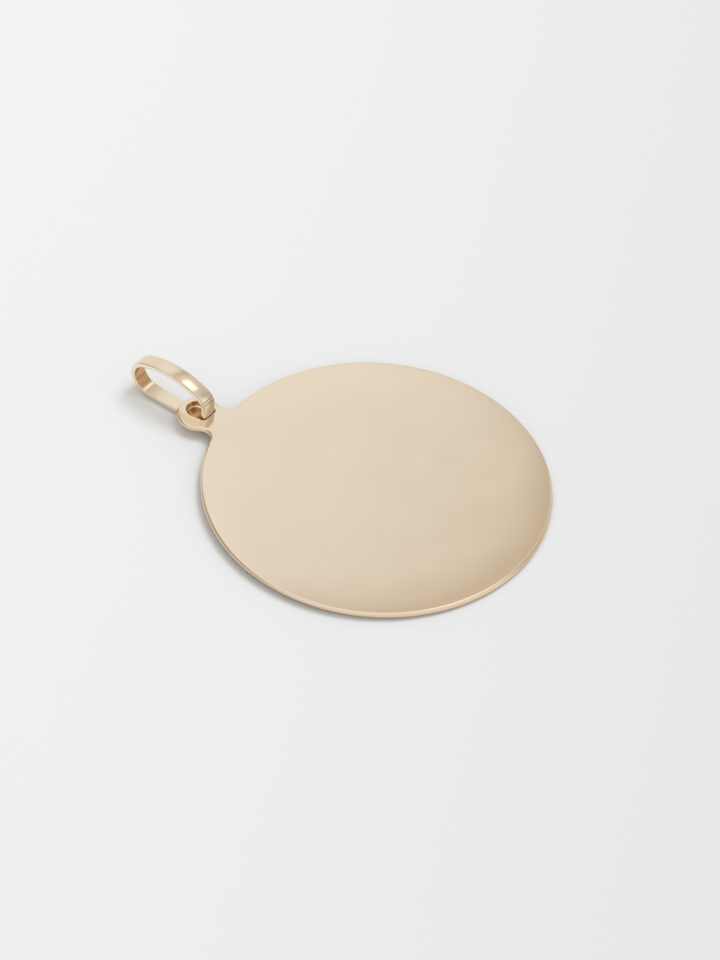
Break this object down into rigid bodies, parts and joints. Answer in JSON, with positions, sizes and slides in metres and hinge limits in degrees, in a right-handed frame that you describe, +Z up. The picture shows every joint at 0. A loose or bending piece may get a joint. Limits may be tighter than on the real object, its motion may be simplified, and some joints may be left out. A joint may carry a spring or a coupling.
{
  "type": "disc pendant",
  "caption": "Plain round polished disc pendant lying face up, with an eye made in one with the disc and a loose oval strip bail for a chain",
  "frame": {"origin": "middle of the bounding box in X and Y, on the plane the pendant lies on", "axes": "+Z up, out of the disc's face; +Y from the disc towards the bail; +X across the pendant, to the right when it is seen from above with the bail at the top"},
  "size_m": [0.025, 0.0328, 0.0036],
  "materials": {
    "gold": "polished pale yellow gold"
  },
  "bodies": {
    "root": {"disc": "gold", "bail": "gold"}
  },
  "joints": []
}
